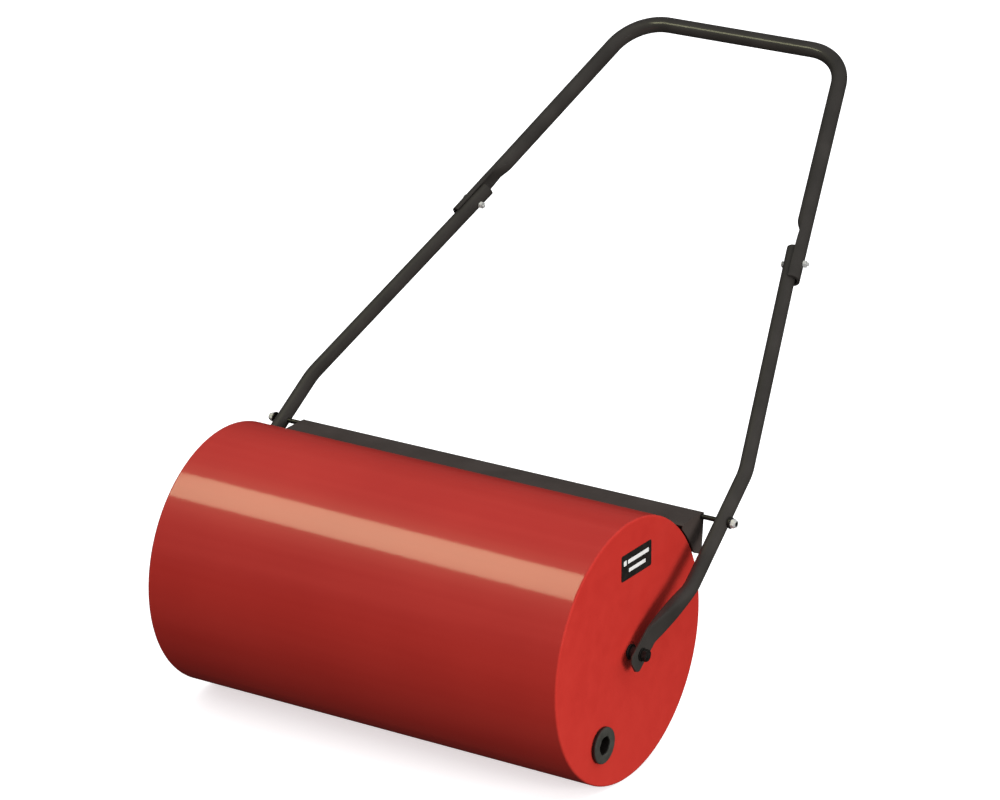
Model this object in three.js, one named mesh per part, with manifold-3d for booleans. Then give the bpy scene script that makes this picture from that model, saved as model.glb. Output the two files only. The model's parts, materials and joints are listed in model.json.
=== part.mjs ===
// A hand-pushed lawn roller: a hollow steel drum that is filled through a plug in its end, turning on
// a fixed axle between the flattened ends of a bent tube handle. A tie rod joins the two lower tubes
// and carries a sheet-metal scraper that rests just clear of the drum.
//
// Millimetres. +X runs along the axle to the end with the filler plug, +Y points back to whoever
// pushes the roller, +Z is up. The origin is on the ground, under the middle of the drum.

import * as THREE from "three";
import { mergeVertices } from "three/addons/utils/BufferGeometryUtils.js";
import Module from "manifold-3d";

const wasm = await Module();
wasm.setup();

// ---- Driving dimensions -------------------------------------------------------------------------

const DRUM_RADIUS = 160; // to the flat of a facet, so that a flat lies exactly on the ground
const DRUM_LENGTH = 570;
const DRUM_SHEET = 1.2;
const RIM_RADIUS = 2.5; // rounding where an end plate meets the drum's wall
const DRUM_FACETS = 48;

const SHAFT_RADIUS = 4; // M8 axle
const SHAFT_TIP = 1.5; // how far the axle stands out of its nut
const SLEEVE_RADIUS = 10.7;
const SLEEVE_BORE = 8.5;
const SLEEVE_HOLE_RADIUS = 11;
const BUSH = { flangeRadius: 9.5, flangeThickness: 2.5, depth: 25, clearance: 0.08 };
const SPACER_RADIUS = 7;
const AXLE_WASHER = { radius: 8, thickness: 1.6 };
const AXLE_NUT = { acrossFlats: 13, height: 6.5 };

const HANDLE_RISE = THREE.MathUtils.degToRad(34.8); // slope of the plane that holds the handle
const TONGUE = { x: 300, end: -20, corner: 7, tipWidth: 0.55 }; // the flattened tube end beside the drum
const ANKLE = { x: TONGUE.x, r: 28, bend: 25 }; // where the lower tube leaves the flat tongue
const KNEE = { x: 317.5, r: 100, bend: 60 }; // where the lower tube swings in towards the axle
const ELBOW = { x: 309.5, r: 269, bend: 90 }; // where the lower tube leans in towards the top bar
const JOINT = { x: 232.4, r: 571 }; // the bolted joint of lower and upper tube
const TOP_CORNER = { x: 152.3, r: 895.7, bend: 62 };

const UPPER_TUBE_RADIUS = 10;
const LOWER_TUBE_RADIUS = 9;
const TUBE_WALL = 1.2;
const SLIT = 0.4; // space left between the walls of a tube that is pressed together
const PRESSED = 2 * TUBE_WALL + SLIT; // thickness of a tube that is pressed together
const TUBE_SIDES = 12;
const UPPER_OFFSET = 1.3; // each tube's axis, measured outwards from the joint's middle
const LOWER_OFFSET = -5.3;
const LOWER_OVERLAP = 24; // how far the lower tube runs above the joint bolt
const UPPER_OVERLAP = 25; // how far the upper tube runs below the joint bolt
const PRESS_FADE = 45; // length over which the pressed end of the upper tube becomes round
const LIP_REACH = 1.4; // how far the lips of a pressed tube lean over its hollow
const LIP_SPREAD = 0.12; // and how much wider than the round tube they stand, as a part of its width

// Where along the lower tube its crushed end starts to open out, and where it is round.
const CRUSH = { flatEnd: 46, roundStart: 116 };

const JOINT_BOLT = { radius: 2.5, headRadius: 4.3, headHeight: 2.6, tip: 3 };
const JOINT_NUT = { acrossFlats: 8, height: 4 };

const ROD_RADIUS = 3; // M6 tie rod
const ROD_R = 197; // its distance from the axle
const ROD_HALF_LENGTH = 331.5;
const ROD_TUBE_FACE = 323.4; // just outside the lower tube, where the tie rod leaves it
const ROD_WASHER = { radius: 7, thickness: 1.8 };
const ROD_NUT = { acrossFlats: 10, height: 6.5 };

const FILLER_HOLE_RADIUS = 17;
const NECK = { bore: 14.5, wall: 2, depth: 12, collarRadius: 20, collarThickness: 1.5, proud: 0.2 };
const SEAL = { start: 0.5, thickness: 1 }; // from the drum's end plate
const PLUG = {
  y: -61.5, // centre of the filler hole, from the axle
  z: -94,
  flangeRadius: 22,
  flangeStart: 1.8, // from the drum's end plate
  flangeHeight: 4,
  edge: 1.2,
  depth: 16,
  floor: 3,
  keyAcrossFlats: 21.5,
};
const LABEL = { y: 13, z: 108, halfWidth: 33, halfHeight: 16, corner: 3, gap: 0.1, thickness: 0.4 };

const SCRAPER_HALF_LENGTH = 284.6;
const SCRAPER_SHEET = 1.2;
const SCRAPER_FOLDS = [
  // y and z of the folded sheet's middle, from the axle: lip, top plate, back plate
  new THREE.Vector2(118.9, 114.4),
  new THREE.Vector2(122.3, 116.2),
  new THREE.Vector2(167.2, 116.2),
  new THREE.Vector2(162.6, 64.5),
];
const CHEEK_ARC = { topRadius: 161.4, topAngle: 42.9, bottomRadius: 162.6, bottomAngle: 26 };

const GAP = 0.3; // between pieces that touch, and round a bolt in its hole

// ---- Materials ----------------------------------------------------------------------------------

const FINISHES = {
  red_paint: { color: 0xbf342c, roughness: 0.3, metalness: 0.1 },
  black_enamel: { color: 0x3f3b38, roughness: 0.35, metalness: 0.2 },
  zinc: { color: 0xb9bbb8, roughness: 0.35, metalness: 0.9 },
  black_oxide: { color: 0x26241f, roughness: 0.5, metalness: 0.6 },
  bare_steel: { color: 0x8d8d8a, roughness: 0.4, metalness: 0.9 },
  dark_plastic: { color: 0x454541, roughness: 0.55, metalness: 0 },
  rubber: { color: 0x1c1b19, roughness: 0.8, metalness: 0 },
  label: { color: 0x1f1d1b, roughness: 0.4, metalness: 0 },
};

function piece(name, geometry, finish) {
  const mesh = new THREE.Mesh(geometry, new THREE.MeshStandardMaterial(FINISHES[finish]));
  mesh.name = name;
  return mesh;
}

// ---- Joining and cutting ------------------------------------------------------------------------

function toSolid(geometry) {
  const bare = geometry.clone();
  bare.deleteAttribute("normal");
  bare.deleteAttribute("uv");
  const merged = mergeVertices(bare, 1e-4);
  return new wasm.Manifold(
    new wasm.Mesh({
      numProp: 3,
      vertProperties: new Float32Array(merged.attributes.position.array),
      triVerts: new Uint32Array(merged.index.array),
    }),
  );
}

function toGeometry(solid) {
  const mesh = solid.getMesh();
  const geometry = new THREE.BufferGeometry();
  geometry.setAttribute("position", new THREE.BufferAttribute(mesh.vertProperties, mesh.numProp));
  geometry.setIndex(new THREE.BufferAttribute(mesh.triVerts, 1));
  geometry.computeVertexNormals();
  return geometry;
}

function cut(geometry, ...drills) {
  return toGeometry(drills.reduce((solid, drill) => solid.subtract(toSolid(drill)), toSolid(geometry)));
}

function join(...geometries) {
  return toGeometry(geometries.map(toSolid).reduce((whole, part) => whole.add(part)));
}

// ---- Shapes about the X axis --------------------------------------------------------------------

// Turns a profile of [x, radius] points about the X axis. The points run with the metal on their
// left, so a closed profile goes round clockwise seen with X to the right and the radius up.
function turned(profile, facets = 20) {
  const points = profile.map(([x, radius]) => new THREE.Vector2(radius, x));
  return new THREE.LatheGeometry(points, facets, Math.PI / facets).rotateZ(-Math.PI / 2);
}

function ring(xStart, xEnd, inner, outer, facets) {
  return turned([[xStart, outer], [xEnd, outer], [xEnd, inner], [xStart, inner], [xStart, outer]], facets);
}

function rod(xStart, xEnd, radius, facets = 16) {
  return turned([[xStart, 0], [xStart, radius], [xEnd, radius], [xEnd, 0]], facets);
}

function hexagon(acrossFlats) {
  const corner = acrossFlats / 2 / Math.cos(Math.PI / 6);
  const shape = new THREE.Shape();
  for (let i = 0; i < 6; i++) {
    const angle = (i * Math.PI) / 3;
    const [u, v] = [corner * Math.cos(angle), corner * Math.sin(angle)];
    if (i) shape.lineTo(u, v);
    else shape.moveTo(u, v);
  }
  shape.closePath();
  return shape;
}

// Extrudes a shape drawn in the Y-Z plane (its x along +Y, its y along +Z) from xStart to xEnd.
function extrudedAlongX(shape, xStart, xEnd) {
  const geometry = new THREE.ExtrudeGeometry(shape, {
    depth: xEnd - xStart,
    bevelEnabled: false,
    curveSegments: 6,
  });
  const yToX = new THREE.Matrix4().makeBasis(
    new THREE.Vector3(0, 1, 0),
    new THREE.Vector3(0, 0, 1),
    new THREE.Vector3(1, 0, 0),
  );
  return geometry.applyMatrix4(yToX).translate(xStart, 0, 0);
}

function hexNut(xStart, xEnd, acrossFlats, boreRadius) {
  const shape = hexagon(acrossFlats);
  const bore = new THREE.Path();
  bore.absarc(0, 0, boreRadius, 0, 2 * Math.PI, true);
  shape.holes.push(bore);
  return extrudedAlongX(shape, xStart, xEnd);
}

// ---- Drum ---------------------------------------------------------------------------------------

const axleHeight = DRUM_RADIUS;
const wallRadius = DRUM_RADIUS / Math.cos(Math.PI / DRUM_FACETS); // to a corner between two facets
const endX = DRUM_LENGTH / 2;

function drumShell() {
  const half = endX - RIM_RADIUS - GAP;
  return ring(-half, half, wallRadius - DRUM_SHEET, wallRadius, DRUM_FACETS);
}

// An end plate with its rim rounded over to meet the drum's wall, facing +X.
function drumEnd() {
  const rimArc = (radius, steps) =>
    Array.from({ length: steps + 1 }, (_, i) => {
      const angle = (i / steps) * (Math.PI / 2);
      return [
        endX - RIM_RADIUS + radius * Math.sin(angle),
        wallRadius - RIM_RADIUS + radius * Math.cos(angle),
      ];
    });
  const outside = rimArc(RIM_RADIUS, 3);
  const inside = rimArc(RIM_RADIUS - DRUM_SHEET, 3).reverse();
  const profile = [
    ...outside,
    [endX, SLEEVE_HOLE_RADIUS],
    [endX - DRUM_SHEET, SLEEVE_HOLE_RADIUS],
    ...inside,
    outside[0],
  ];
  return turned(profile, DRUM_FACETS);
}

// Moves a piece that is made about the X axis to the filler hole.
function atPlug(geometry) {
  return geometry.translate(0, PLUG.y, PLUG.z);
}

function fillerHoleDrill() {
  return atPlug(rod(endX - 10, endX + 10, FILLER_HOLE_RADIUS, 24));
}

// The threaded ring that is welded into the filler hole, with a collar inside the drum.
function fillerNeck() {
  const collar = endX - DRUM_SHEET - GAP;
  const innerEnd = collar - NECK.depth;
  const outerEnd = endX + NECK.proud;
  return atPlug(
    turned([
      [innerEnd, NECK.bore + NECK.wall],
      [collar - NECK.collarThickness, NECK.bore + NECK.wall],
      [collar - NECK.collarThickness, NECK.collarRadius],
      [collar, NECK.collarRadius],
      [collar, FILLER_HOLE_RADIUS - GAP],
      [outerEnd, FILLER_HOLE_RADIUS - GAP],
      [outerEnd, NECK.bore],
      [innerEnd, NECK.bore],
      [innerEnd, NECK.bore + NECK.wall],
    ]),
  );
}

function plugSeal() {
  const start = endX + SEAL.start;
  return atPlug(ring(start, start + SEAL.thickness, FILLER_HOLE_RADIUS, PLUG.flangeRadius - PLUG.edge));
}

// A hollow screw plug with a hexagonal recess for the key that turns it.
function fillerPlug() {
  const flange = endX + PLUG.flangeStart;
  const face = flange + PLUG.flangeHeight;
  const bottom = endX - PLUG.depth;
  const body = turned([
    [bottom, 0],
    [bottom, NECK.bore - GAP],
    [flange, NECK.bore - GAP],
    [flange, PLUG.flangeRadius],
    [face - PLUG.edge, PLUG.flangeRadius],
    [face, PLUG.flangeRadius - PLUG.edge],
    [face, 0],
  ]);
  const recess = extrudedAlongX(hexagon(PLUG.keyAcrossFlats), bottom + PLUG.floor, face + 1);
  return atPlug(cut(body, recess));
}

// A thin plate with four rounded corners.
function endLabel() {
  const [u, v] = [LABEL.halfWidth - LABEL.corner, LABEL.halfHeight - LABEL.corner]; // corner centres
  const shape = new THREE.Shape();
  [[u, v], [-u, v], [-u, -v], [u, -v]].forEach(([x, y], quarter) => {
    const start = (quarter * Math.PI) / 2;
    shape.absarc(x, y, LABEL.corner, start, start + Math.PI / 2, false);
  });
  const start = endX + LABEL.gap;
  return extrudedAlongX(shape, start, start + LABEL.thickness).translate(0, LABEL.y, LABEL.z);
}

// ---- Axle ---------------------------------------------------------------------------------------

const tongueInner = TONGUE.x - PRESSED / 2;
const tongueOuter = TONGUE.x + PRESSED / 2;
const bushBore = (SHAFT_RADIUS + BUSH.clearance) / Math.cos(Math.PI / 20); // to a corner of its facets
const sleeveEnd = endX + 0.6; // the sleeve stands a little proud of the end plate, for its weld
const bushStart = sleeveEnd - BUSH.depth;
const flangeStart = sleeveEnd + GAP;
const flangeEnd = flangeStart + BUSH.flangeThickness;

// A flanged plastic bush that is pressed into the sleeve and turns on the axle.
function bearingBush() {
  return turned([
    [bushStart, bushBore],
    [bushStart, SLEEVE_BORE - GAP],
    [flangeStart, SLEEVE_BORE - GAP],
    [flangeStart, BUSH.flangeRadius],
    [flangeEnd, BUSH.flangeRadius],
    [flangeEnd, bushBore],
    [bushStart, bushBore],
  ]);
}

const washerStart = tongueOuter + GAP;
const nutStart = washerStart + AXLE_WASHER.thickness + GAP;
const nutEnd = nutStart + AXLE_NUT.height;
const shaftHole = SHAFT_RADIUS + GAP;
const axleFasteners = {
  axle_spacer: () => ring(flangeEnd + GAP, tongueInner - GAP, shaftHole, SPACER_RADIUS),
  axle_washer: () => ring(washerStart, washerStart + AXLE_WASHER.thickness, shaftHole, AXLE_WASHER.radius),
  axle_nut: () => hexNut(nutStart, nutEnd, AXLE_NUT.acrossFlats, shaftHole),
};

// ---- Tubes in the handle's plane ----------------------------------------------------------------

// A path through corners in the (x, r) plane, each with its own bend radius.
function bentPath(corners) {
  const path = new THREE.Path();
  path.moveTo(corners[0].x, corners[0].r);
  corners.slice(1, -1).forEach((corner, i) => {
    const at = new THREE.Vector2(corner.x, corner.r);
    const back = new THREE.Vector2(corners[i].x, corners[i].r).sub(at).normalize();
    const ahead = new THREE.Vector2(corners[i + 2].x, corners[i + 2].r).sub(at).normalize();
    const halfAngle = Math.acos(back.dot(ahead)) / 2;
    const reach = corner.bend / Math.tan(halfAngle);
    const centre = back.clone().add(ahead).setLength(corner.bend / Math.sin(halfAngle)).add(at);
    const from = back.multiplyScalar(reach).add(at);
    const to = ahead.multiplyScalar(reach).add(at);
    const turnsRight = (at.x - from.x) * (to.y - at.y) - (at.y - from.y) * (to.x - at.x) < 0;
    path.lineTo(from.x, from.y);
    path.absarc(
      centre.x,
      centre.y,
      corner.bend,
      Math.atan2(from.y - centre.y, from.x - centre.x),
      Math.atan2(to.y - centre.y, to.x - centre.x),
      turnsRight,
    );
  });
  const last = corners[corners.length - 1];
  path.lineTo(last.x, last.r);
  return path;
}

// A hollow tube along a path, open at both ends. section(angle, distance, inside) gives a point of
// the wall's outer or inner face as [sideways, normal], sideways being to the right of the path.
function tubeAlong(path, distances, section) {
  const length = path.getLength();
  const positions = [];
  for (const inside of [false, true])
    for (const distance of distances) {
      const u = THREE.MathUtils.clamp(distance / length, 0, 1);
      const centre = path.getPoint(u);
      const heading = path.getTangent(u);
      for (let side = 0; side < TUBE_SIDES; side++) {
        const angle = (side / TUBE_SIDES) * 2 * Math.PI;
        const [sideways, normal] = section(angle, distance, inside);
        positions.push(centre.x + sideways * heading.y, centre.y - sideways * heading.x, normal);
      }
    }
  const index = [];
  const quad = (a, b, c, d) => index.push(a, b, c, a, c, d);
  const inner = distances.length * TUBE_SIDES;
  const last = (distances.length - 1) * TUBE_SIDES;
  for (let side = 0; side < TUBE_SIDES; side++) {
    const next = (side + 1) % TUBE_SIDES;
    for (let start = 0; start < last; start += TUBE_SIDES) {
      const [a, b] = [start + side, start + next];
      const [c, d] = [b + TUBE_SIDES, a + TUBE_SIDES];
      quad(a, d, c, b);
      quad(inner + a, inner + b, inner + c, inner + d);
    }
    quad(side, next, inner + next, inner + side);
    quad(last + side, inner + last + side, inner + last + next, last + next);
  }
  const geometry = new THREE.BufferGeometry();
  geometry.setAttribute("position", new THREE.Float32BufferAttribute(positions, 3));
  geometry.setIndex(index);
  geometry.computeVertexNormals();
  return geometry;
}

// A round section whose wall on one side (-1 or 1) is pressed by an amount from 0 to 1 until it lies
// against the other wall, which leaves a C with its hollow towards the pressed side.
function pressedSection(angle, radius, side, amount, inside) {
  const { lerp } = THREE.MathUtils;
  const outer = inside ? radius - TUBE_WALL : radius;
  const folded = outer - (inside ? SLIT : PRESSED);
  const across = Math.cos(angle);
  const pressed = across * side > 0 ? amount : 0;
  const lean = side * LIP_REACH * amount * (1 - Math.abs(across));
  const spread = 1 + LIP_SPREAD * amount;
  return [
    lerp(outer, -folded, pressed) * across + lean,
    lerp(outer, folded, pressed) * spread * Math.sin(angle),
  ];
}

// A section between a flat strip of two walls, where open is 0, and a round tube, where it is 1. On
// the way its four corners are still sharp.
function crushedSection(angle, radius, open, inside) {
  const { lerp } = THREE.MathUtils;
  const wall = inside ? TUBE_WALL : 0;
  const halfThickness = lerp(PRESSED / 2, radius, Math.sin((open * Math.PI) / 2)) - wall;
  const halfWidth = lerp((Math.PI / 2) * radius, radius, open) - wall;
  const power = lerp(0.25, 1, open ** 2);
  const bulge = (value) => Math.sign(value) * Math.abs(value) ** power;
  return [halfThickness * bulge(Math.cos(angle)), halfWidth * bulge(Math.sin(angle))];
}

function steps(from, to, count) {
  return Array.from({ length: count + 1 }, (_, i) => from + ((to - from) * i) / count);
}

const legLean = Math.atan2(JOINT.x - TOP_CORNER.x, TOP_CORNER.r - JOINT.r); // from straight up

// A point beside the joint bolt: along the leg towards the top, and outwards across it.
function besideJoint(along, outwards) {
  return {
    x: JOINT.x - along * Math.sin(legLean) + outwards * Math.cos(legLean),
    r: JOINT.r + along * Math.cos(legLean) + outwards * Math.sin(legLean),
  };
}

// A drill across the leg at the joint bolt, on the side of the roller that sign gives.
function jointDrill(sign) {
  return rod(-20, 20, JOINT_BOLT.radius + GAP, 12)
    .rotateZ(sign * legLean)
    .translate(sign * JOINT.x, JOINT.r, 0);
}

function upperHandle() {
  const foot = besideJoint(-UPPER_OVERLAP, UPPER_OFFSET);
  const corners = [
    foot,
    TOP_CORNER,
    { ...TOP_CORNER, x: -TOP_CORNER.x },
    { ...foot, x: -foot.x },
  ];
  const path = bentPath(corners);
  const length = path.getLength();
  const [leg, bend] = path.getCurveLengths(); // running lengths at the ends of the leg and its bend
  const pressEnd = UPPER_OVERLAP + LOWER_OVERLAP;
  const press = (distance) => 1 - THREE.MathUtils.smoothstep(distance, pressEnd, pressEnd + PRESS_FADE);
  const half = [0, ...steps(pressEnd, pressEnd + PRESS_FADE, 7), ...steps(leg, bend, 7)];
  const distances = [...half, ...half.map((distance) => length - distance).reverse()];
  const section = (angle, distance, inside) => {
    const fromEnd = Math.min(distance, length - distance);
    return pressedSection(angle, UPPER_TUBE_RADIUS, -1, press(fromEnd), inside);
  };
  return cut(tubeAlong(path, distances, section), jointDrill(1), jointDrill(-1));
}

function lowerTube() {
  const corners = [
    { x: TONGUE.x, r: TONGUE.end },
    ANKLE,
    KNEE,
    ELBOW,
    besideJoint(LOWER_OVERLAP, LOWER_OFFSET),
  ];
  const path = bentPath(corners);
  const length = path.getLength();
  const [elbowStart, elbowEnd] = path.getCurveLengths().slice(-3);
  const section = (angle, distance, inside) => {
    const { clamp, lerp } = THREE.MathUtils;
    const opened = (distance - CRUSH.flatEnd) / (CRUSH.roundStart - CRUSH.flatEnd);
    const [across, normal] = crushedSection(angle, LOWER_TUBE_RADIUS, clamp(opened, 0, 1), inside);
    const widening = Math.sin((Math.min(distance / TONGUE.corner, 1) * Math.PI) / 2);
    return [across, normal * lerp(TONGUE.tipWidth, 1, widening)];
  };
  const distances = [
    ...steps(0, TONGUE.corner, 3),
    ...steps(CRUSH.flatEnd, CRUSH.roundStart, 12),
    ...steps(CRUSH.roundStart, elbowStart, 4).slice(1, -1),
    ...steps(elbowStart, elbowEnd, 6),
    length,
  ];
  const axleDrill = rod(TONGUE.x - 10, TONGUE.x + 10, SHAFT_RADIUS + GAP);
  const rodDrill = rod(ELBOW.x - 25, ELBOW.x + 25, ROD_RADIUS + GAP, 12).translate(0, ROD_R, 0);
  return cut(tubeAlong(path, distances, section), axleDrill, rodDrill, jointDrill(1));
}

// ---- Joint bolts and tie rod --------------------------------------------------------------------

const jointInner = LOWER_OFFSET - LOWER_TUBE_RADIUS - GAP; // faces of the joint, from its middle
const jointOuter = UPPER_OFFSET + UPPER_TUBE_RADIUS + GAP;

// A round-headed bolt with its head at the -X end of the joint and its tip at the +X end.
function jointBolt(headX, nutX) {
  const { radius, headRadius, headHeight } = JOINT_BOLT;
  const tip = nutX + JOINT_NUT.height + JOINT_BOLT.tip;
  const dome = steps(0, Math.PI / 2, 4).map((angle) => [
    headX - headHeight * Math.cos(angle),
    headRadius * Math.sin(angle),
  ]);
  return turned([...dome, [headX, radius], [tip, radius], [tip, 0]], 16);
}

function jointNut(nutX) {
  return hexNut(nutX, nutX + JOINT_NUT.height, JOINT_NUT.acrossFlats, JOINT_BOLT.radius + GAP);
}

// Both bolts point the same way along the roller, so the two sides are not mirror images.
function jointFasteners(name, sign) {
  const [headX, nutX] = sign > 0 ? [jointInner, jointOuter] : [-jointOuter, -jointInner];
  const group = new THREE.Group();
  group.add(piece("joint_bolt_" + name, jointBolt(headX, nutX), "zinc"));
  group.add(piece("joint_nut_" + name, jointNut(nutX), "zinc"));
  group.position.set(sign * JOINT.x, JOINT.r, 0);
  group.rotation.z = sign * legLean;
  return group;
}

const rodWasherEnd = ROD_TUBE_FACE + ROD_WASHER.thickness;
const rodNutStart = rodWasherEnd + GAP;
const rodHole = ROD_RADIUS + GAP;
const rodFasteners = {
  rod_washer: () => ring(ROD_TUBE_FACE, rodWasherEnd, rodHole, ROD_WASHER.radius),
  rod_nut: () => hexNut(rodNutStart, rodNutStart + ROD_NUT.height, ROD_NUT.acrossFlats, rodHole),
};

// ---- Scraper ------------------------------------------------------------------------------------

// The outline of a folded sheet of even thickness whose middle follows the given points.
function foldedSheet(middle, thickness) {
  const directions = middle.slice(1).map((point, i) => point.clone().sub(middle[i]).normalize());
  const offsets = middle.map((_, i) => {
    const before = directions[Math.max(i - 1, 0)];
    const after = directions[Math.min(i, directions.length - 1)];
    const mitre = before.clone().add(after).normalize();
    return new THREE.Vector2(-mitre.y, mitre.x).multiplyScalar(thickness / 2 / mitre.dot(after));
  });
  const upper = middle.map((point, i) => point.clone().add(offsets[i]));
  const lower = middle.map((point, i) => point.clone().sub(offsets[i]));
  return new THREE.Shape([...lower, ...upper.reverse()]);
}

// An end cheek that follows the drum's curve, with the hole that hangs the scraper on the tie rod.
function scraperCheek(xStart) {
  const [, front, back, bottom] = SCRAPER_FOLDS;
  const { topRadius, topAngle, bottomRadius, bottomAngle } = CHEEK_ARC;
  const arc = steps(0, 1, 5).map((t) => {
    const angle = THREE.MathUtils.degToRad(THREE.MathUtils.lerp(topAngle, bottomAngle, t));
    const radius = THREE.MathUtils.lerp(topRadius, bottomRadius, t);
    return new THREE.Vector2(radius * Math.cos(angle), radius * Math.sin(angle));
  });
  const cheek = new THREE.Shape([front, ...arc, bottom, back]);
  const hole = new THREE.Path();
  const { y, z } = rodPosition();
  hole.absarc(y, z, ROD_RADIUS + GAP, 0, 2 * Math.PI, true);
  cheek.holes.push(hole);
  return extrudedAlongX(cheek, xStart, xStart + SCRAPER_SHEET);
}

function rodPosition() {
  return { y: ROD_R * Math.cos(HANDLE_RISE), z: ROD_R * Math.sin(HANDLE_RISE) };
}

function scraper() {
  const sheet = foldedSheet(SCRAPER_FOLDS, SCRAPER_SHEET);
  return join(
    extrudedAlongX(sheet, -SCRAPER_HALF_LENGTH, SCRAPER_HALF_LENGTH),
    scraperCheek(-SCRAPER_HALF_LENGTH),
    scraperCheek(SCRAPER_HALF_LENGTH - SCRAPER_SHEET),
  );
}

// ---- Assembly -----------------------------------------------------------------------------------

// A group turned half a turn about Z, which puts pieces made for the +X end at the -X end.
function otherEnd(...meshes) {
  const group = new THREE.Group();
  group.rotation.z = Math.PI;
  group.add(...meshes);
  return group;
}

const roller = new THREE.Group();
roller.name = "lawn_roller";

const aboutAxle = new THREE.Group();
aboutAxle.position.z = axleHeight;
roller.add(aboutAxle);

aboutAxle.add(
  piece("drum_shell", drumShell(), "red_paint"),
  piece("drum_end_right", cut(drumEnd(), fillerHoleDrill()), "red_paint"),
  otherEnd(piece("drum_end_left", drumEnd(), "red_paint")),
  piece("axle_sleeve", ring(-sleeveEnd, sleeveEnd, SLEEVE_BORE, SLEEVE_RADIUS), "red_paint"),
  piece("bearing_bush_right", bearingBush(), "dark_plastic"),
  otherEnd(piece("bearing_bush_left", bearingBush(), "dark_plastic")),
  piece("filler_neck", fillerNeck(), "bare_steel"),
  piece("plug_seal", plugSeal(), "rubber"),
  piece("filler_plug", fillerPlug(), "dark_plastic"),
  piece("end_label", endLabel(), "label"),
  piece("axle_shaft", rod(-nutEnd - SHAFT_TIP, nutEnd + SHAFT_TIP, SHAFT_RADIUS, 20), "black_oxide"),
);

for (const [name, make] of Object.entries(axleFasteners)) {
  aboutAxle.add(piece(name + "_right", make(), "black_oxide"));
  aboutAxle.add(otherEnd(piece(name + "_left", make(), "black_oxide")));
}

aboutAxle.add(piece("scraper", scraper(), "black_enamel"));

// The handle's plane passes through the axle, so its pieces are made flat in (x, r) and tipped up.
const handlePlane = new THREE.Group();
handlePlane.rotation.x = HANDLE_RISE;
aboutAxle.add(handlePlane);

handlePlane.add(piece("upper_handle", upperHandle(), "black_enamel"));
handlePlane.add(piece("lower_tube_right", lowerTube(), "black_enamel"));
const leftTube = piece("lower_tube_left", lowerTube(), "black_enamel");
leftTube.scale.x = -1;
handlePlane.add(leftTube);
handlePlane.add(jointFasteners("right", 1), jointFasteners("left", -1));

const rodLine = new THREE.Group();
rodLine.position.y = ROD_R;
handlePlane.add(rodLine);
rodLine.add(piece("tie_rod", rod(-ROD_HALF_LENGTH, ROD_HALF_LENGTH, ROD_RADIUS), "black_oxide"));
for (const [name, make] of Object.entries(rodFasteners)) {
  const finish = name === "rod_nut" ? "zinc" : "black_oxide";
  rodLine.add(piece(name + "_right", make(), finish));
  rodLine.add(otherEnd(piece(name + "_left", make(), finish)));
}

export default roller;
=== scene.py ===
"""Looks of a hand-pushed lawn roller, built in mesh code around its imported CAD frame.

The frame is in metres: +X along the axle to the end with the filler plug, +Y back to whoever pushes, +Z up.
Shapes are worked out in millimetres from the axle, and placed by matrices that scale to metres.
"""

import json
from math import atan2, ceil, copysign, cos, exp, pi, radians, sin, tan

import bmesh
import bpy
from mathutils import Matrix, Vector


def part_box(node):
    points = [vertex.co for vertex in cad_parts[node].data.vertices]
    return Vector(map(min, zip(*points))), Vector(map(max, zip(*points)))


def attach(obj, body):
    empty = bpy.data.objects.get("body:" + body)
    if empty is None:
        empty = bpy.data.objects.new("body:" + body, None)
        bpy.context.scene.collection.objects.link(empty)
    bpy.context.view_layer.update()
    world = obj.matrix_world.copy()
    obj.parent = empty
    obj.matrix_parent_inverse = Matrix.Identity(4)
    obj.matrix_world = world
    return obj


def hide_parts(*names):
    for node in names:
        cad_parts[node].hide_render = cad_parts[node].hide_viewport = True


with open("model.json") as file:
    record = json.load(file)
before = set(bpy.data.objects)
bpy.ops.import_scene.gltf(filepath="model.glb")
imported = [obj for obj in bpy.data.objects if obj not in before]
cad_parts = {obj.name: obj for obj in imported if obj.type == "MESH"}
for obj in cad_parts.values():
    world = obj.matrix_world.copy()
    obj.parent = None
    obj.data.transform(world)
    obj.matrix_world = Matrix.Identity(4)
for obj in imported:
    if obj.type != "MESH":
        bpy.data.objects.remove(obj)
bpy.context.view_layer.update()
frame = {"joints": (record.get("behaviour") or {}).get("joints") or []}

# ---- Driving dimensions, in mm ---------------------------------------------------------------------

MM = 0.001
JOINTS = {joint["name"]: joint for joint in frame["joints"]}
AXLE = Vector(JOINTS["drum_spin"]["pos_m"])
ROD = (Vector(JOINTS["scraper_pivot"]["pos_m"]) - AXLE) / MM

DRUM_RADIUS = AXLE.z / MM
DRUM_SHEET = 1.2
RIM_RADIUS = 2.5
SEAM_ANGLE = radians(-62)  # where the rolled wall's lengthwise weld lies
SEAM_WIDTH, SEAM_HEIGHT = 2.2, 0.22
SEAM_GAP = 0.04  # between the wall and each end's rim
SLEEVE_RADIUS, SLEEVE_BORE = 10.7, 8.5
BUSH_FLANGE, BUSH_FLANGE_DEPTH, SPACER_RADIUS = 9.5, 2.5, 7
FILLER_HOLE = 17
SHAFT_RADIUS, SHAFT_PITCH, SHAFT_THREAD = 4, 1.25, 12
AXLE_WASHER_RADIUS, AXLE_NUT_FLATS = 8, 13

PLUG = Vector((0, -61.5, -94))  # centre of the filler hole
PLUG_THREAD, PLUG_CORE = 14.2, 13.1
PLUG_FLANGE, PLUG_FLANGE_DEPTH = 22, 4
PLUG_PITCH, PLUG_FLOOR = 3, 3
PLUG_KEY = 21.5  # across the flats of the recess
NECK_THREAD, NECK_BORE = 15.6, 14.5
NECK_RADIUS, NECK_COLLAR, NECK_LAND = 17.2, 20, 16.7
BARS = ((-25.2, 5.4, 6.2, 6.2), (4.0, 5.4, 46, 5.0), (1.5, -5.6, 37, 4.6))  # y, z, width, height

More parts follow.
